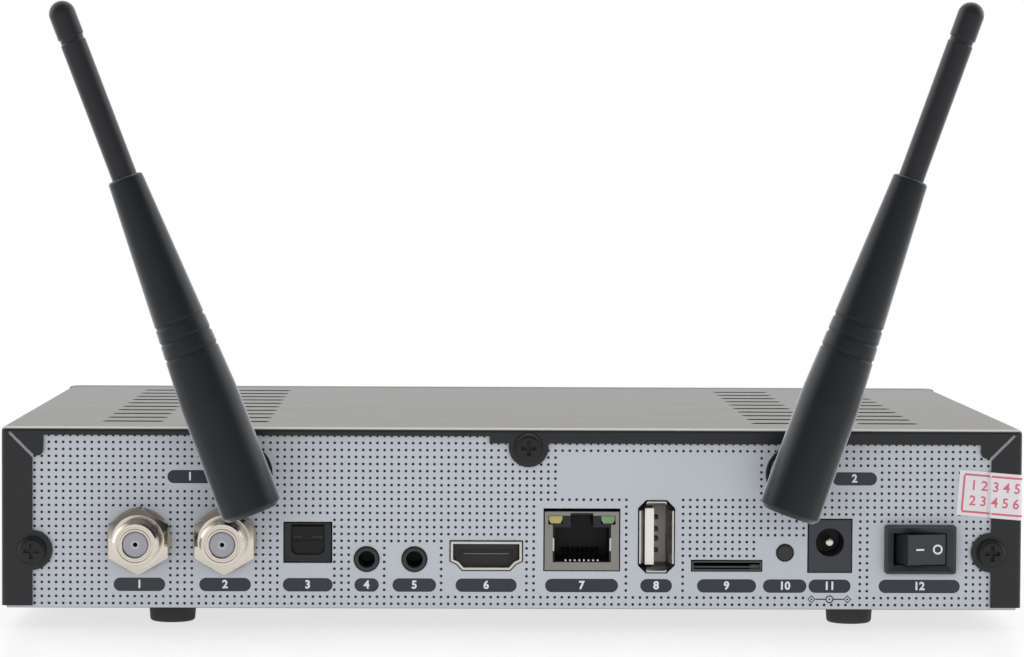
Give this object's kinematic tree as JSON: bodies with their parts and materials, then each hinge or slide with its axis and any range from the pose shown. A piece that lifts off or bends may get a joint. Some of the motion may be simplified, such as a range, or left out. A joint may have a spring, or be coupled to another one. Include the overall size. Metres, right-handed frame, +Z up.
{
  "type": "satellite television receiver",
  "caption": "Flat box-shaped satellite receiver with a row of sockets, a rocker switch and two folding, swivelling antennas on its connector panel.",
  "frame": {"origin": "middle of the whole object's outline in plan, on the surface that it stands on", "axes": "+Z up, connector panel with the antennas faces -Y, front fascia faces +Y, +X along the case towards the power switch"},
  "size_m": [0.2151, 0.1606, 0.1317],
  "materials": {
    "connector_panel": "fine satin, light blue-grey",
    "cover_black": "satin powder coat",
    "screw_black": "black oxide",
    "foot_rubber": "matte",
    "fascia_black": "satin gloss",
    "smoked_window": "smoked, polished",
    "display_plastic": "matte",
    "board_green": "solder mask, semi-gloss",
    "key_black": "matte",
    "sensor_dark": "polished",
    "pillar_brass": "machined",
    "plain_steel": "zinc plated",
    "nickel": "nickel plate",
    "pale_insulator": "translucent",
    "chip_black": "moulded epoxy",
    "sink_aluminium": "extruded",
    "can_steel": "tinned",
    "lead_black": "satin sheath",
    "ribbon_white": "matte",
    "socket_black": "moulded",
    "contact_gold": "gold flash",
    "light_amber": "clear lens",
    "light_green": "clear lens",
    "tongue_white": "matte",
    "antenna_black": "satin",
    "seal_paper": "matte"
  },
  "bodies": {
    "case": {"chassis_tray": "connector_panel", "top_cover": "cover_black", "cover_screws": "screw_black", "rubber_feet": "foot_rubber", "front_fascia": "fascia_black", "display_window": "smoked_window", "display_module": "display_plastic", "front_board": "board_green", "standby_switch": "key_black", "infrared_receiver": "sensor_dark", "main_board": "board_green", "board_standoffs": "pillar_brass", "board_screws": "plain_steel", "main_chips": "chip_black", "heat_sink": "sink_aluminium", "wifi_module": "can_steel", "antenna_pigtails": "lead_black", "ribbon_cable": "ribbon_white", "tuner_cans": "can_steel", "tuner_connectors": "nickel", "tuner_insulators": "pale_insulator", "tuner_contacts": "contact_gold", "tuner_nuts": "nickel", "tuner_washers": "nickel", "optical_socket": "socket_black", "round_jacks": "socket_black", "video_socket_shell": "can_steel", "video_socket_tongue": "socket_black", "network_socket_shell": "can_steel", "network_socket_insert": "socket_black", "network_socket_contacts": "contact_gold", "network_light_amber": "light_amber", "network_light_green": "light_green", "usb_socket_shell": "can_steel", "usb_socket_tongue": "tongue_white", "usb_socket_contacts": "contact_gold", "card_socket": "can_steel", "recovery_switch": "key_black", "power_socket": "socket_black", "power_socket_pin": "nickel", "power_switch_frame": "socket_black", "power_switch_terminals": "plain_steel", "switch_wires": "lead_black", "antenna_nuts": "nickel", "seal_sticker": "seal_paper", "left_antenna_base": "antenna_black", "right_antenna_base": "antenna_black"},
    "left_collar": {"left_antenna_swivel": "antenna_black"},
    "left_rod": {"left_antenna_pin": "screw_black", "left_antenna_barrel": "antenna_black", "left_antenna_mast": "antenna_black"},
    "right_collar": {"right_antenna_swivel": "antenna_black"},
    "right_rod": {"right_antenna_pin": "screw_black", "right_antenna_barrel": "antenna_black", "right_antenna_mast": "antenna_black"},
    "rocker": {"power_switch_rocker": "key_black"},
    "recovery_key": {"recovery_button": "key_black"},
    "standby_key": {"standby_button": "key_black"},
    "shutter": {"optical_shutter": "socket_black"}
  },
  "joints": [
    {"name": "left_swivel", "type": "hinge", "parent": "case", "child": "left_collar", "pos_m": [-0.0568, -0.06087, 0.0327], "axis": [0, 1, 0], "range_deg": [-69, 50]},
    {"name": "left_fold", "type": "hinge", "parent": "left_collar", "child": "left_rod", "pos_m": [-0.0568, -0.07387, 0.0327], "axis": [0.9339, 0, 0.3576], "range_deg": [0, 90]},
    {"name": "right_swivel", "type": "hinge", "parent": "case", "child": "right_collar", "pos_m": [0.0594, -0.06087, 0.0327], "axis": [0, 1, 0], "range_deg": [-49, 70]},
    {"name": "right_fold", "type": "hinge", "parent": "right_collar", "child": "right_rod", "pos_m": [0.0594, -0.07387, 0.0327], "axis": [0.9421, 0, -0.3355], "range_deg": [0, 90]},
    {"name": "power_rocker", "type": "hinge", "parent": "case", "child": "rocker", "pos_m": [0.086, -0.05758, 0.017], "axis": [0, 0, -1], "range_deg": [0, 28]},
    {"name": "recovery_press", "type": "slide", "parent": "case", "child": "recovery_key", "axis": [0, 1, 0], "range_m": [0, 0.0005], "stiffness_N_per_m": 150, "springref_m": -0.0003},
    {"name": "standby_press", "type": "slide", "parent": "case", "child": "standby_key", "axis": [0, -1, 0], "range_m": [0, 0.0006], "stiffness_N_per_m": 200, "springref_m": -0.0003},
    {"name": "shutter_swing", "type": "hinge", "parent": "case", "child": "shutter", "pos_m": [-0.0432, -0.06008, 0.0212], "axis": [1, 0, 0], "range_deg": [0, 82], "stiffness_Nm_per_rad": 0.00003, "springref_deg": -20.05}
  ]
}
